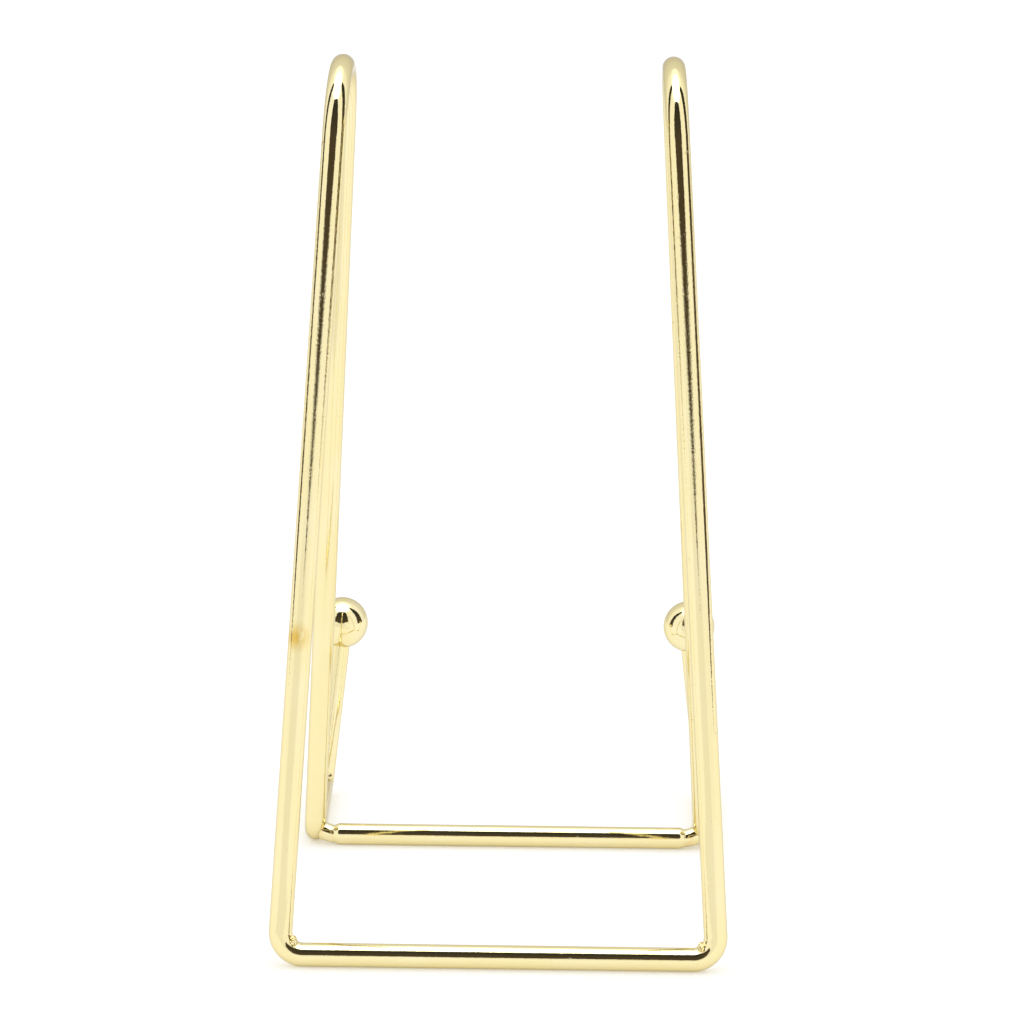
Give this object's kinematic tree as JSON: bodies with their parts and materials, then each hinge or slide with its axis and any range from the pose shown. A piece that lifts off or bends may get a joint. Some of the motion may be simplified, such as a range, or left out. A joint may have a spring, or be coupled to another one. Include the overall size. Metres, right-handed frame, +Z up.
{
  "type": "display easel",
  "caption": "Polished bent-rod display easel: side rods with hairpin tops, floor-level shelf arms and upturned ball-tipped hooks, joined by cross bars.",
  "frame": {"origin": "on the floor, at the middle of the easel's outline seen from above", "axes": "+Z up; -Y is the display side, where the hooks are, and +Y the side of the rear legs; +X across, and the easel is symmetric about X = 0"},
  "size_m": [0.0804, 0.129, 0.152],
  "materials": {
    "plated_rod": "polished brass plate",
    "plated_ball": "polished brass plate",
    "plated_weld": "polished brass plate over a weld bead"
  },
  "bodies": {
    "root": {"rear_bar": "plated_rod", "front_bar": "plated_rod", "left_side_rod": "plated_rod", "left_hook_ball": "plated_ball", "left_rear_weld": "plated_weld", "left_front_weld": "plated_weld", "right_side_rod": "plated_rod", "right_hook_ball": "plated_ball", "right_rear_weld": "plated_weld", "right_front_weld": "plated_weld"}
  },
  "joints": []
}
